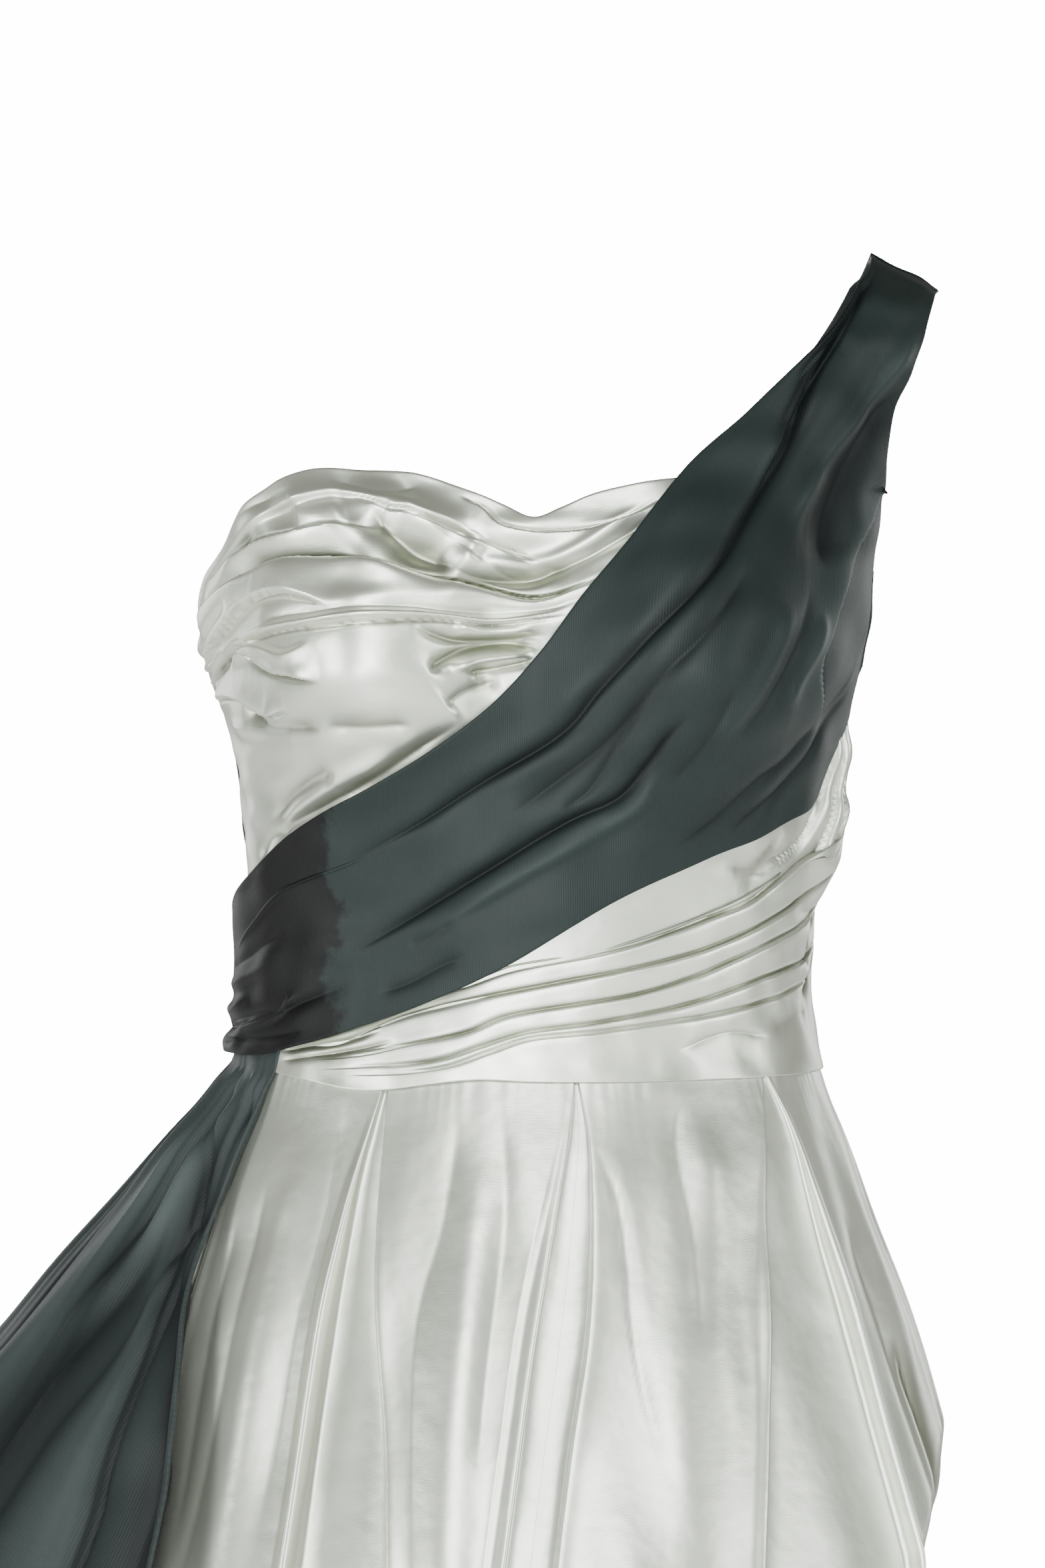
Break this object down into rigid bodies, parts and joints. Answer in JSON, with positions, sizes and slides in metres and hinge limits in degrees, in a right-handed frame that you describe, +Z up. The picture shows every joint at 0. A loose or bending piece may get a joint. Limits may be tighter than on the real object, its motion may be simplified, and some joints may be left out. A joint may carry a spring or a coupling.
{
  "type": "ball gown",
  "caption": "one-shoulder ball gown, hollow as worn: ruched satin bust, pleated full skirt, diagonal faille sash and hip drape",
  "frame": {"origin": "middle of the wearer's waist, level with the waist seam", "axes": "+Z up along the wearer, front faces -Y, +X is the shoulder that the sash crosses"},
  "size_m": [1.0316, 0.9235, 1.401],
  "materials": {
    "satin": "pale sage silk satin",
    "faille": "dark green ribbed faille"
  },
  "bodies": {
    "root": {"bodice_front": "satin", "bodice_back_left": "satin", "bodice_back_right": "satin", "back_placket": "satin", "skirt_front_right": "satin", "skirt_front_left": "satin", "skirt_back_left": "satin", "skirt_back_right": "satin", "waist_swathe": "satin", "waist_swathe_back": "satin", "sash_front": "faille", "sash_back": "faille", "hip_fall_front": "faille", "hip_fall_back": "faille"}
  },
  "joints": []
}
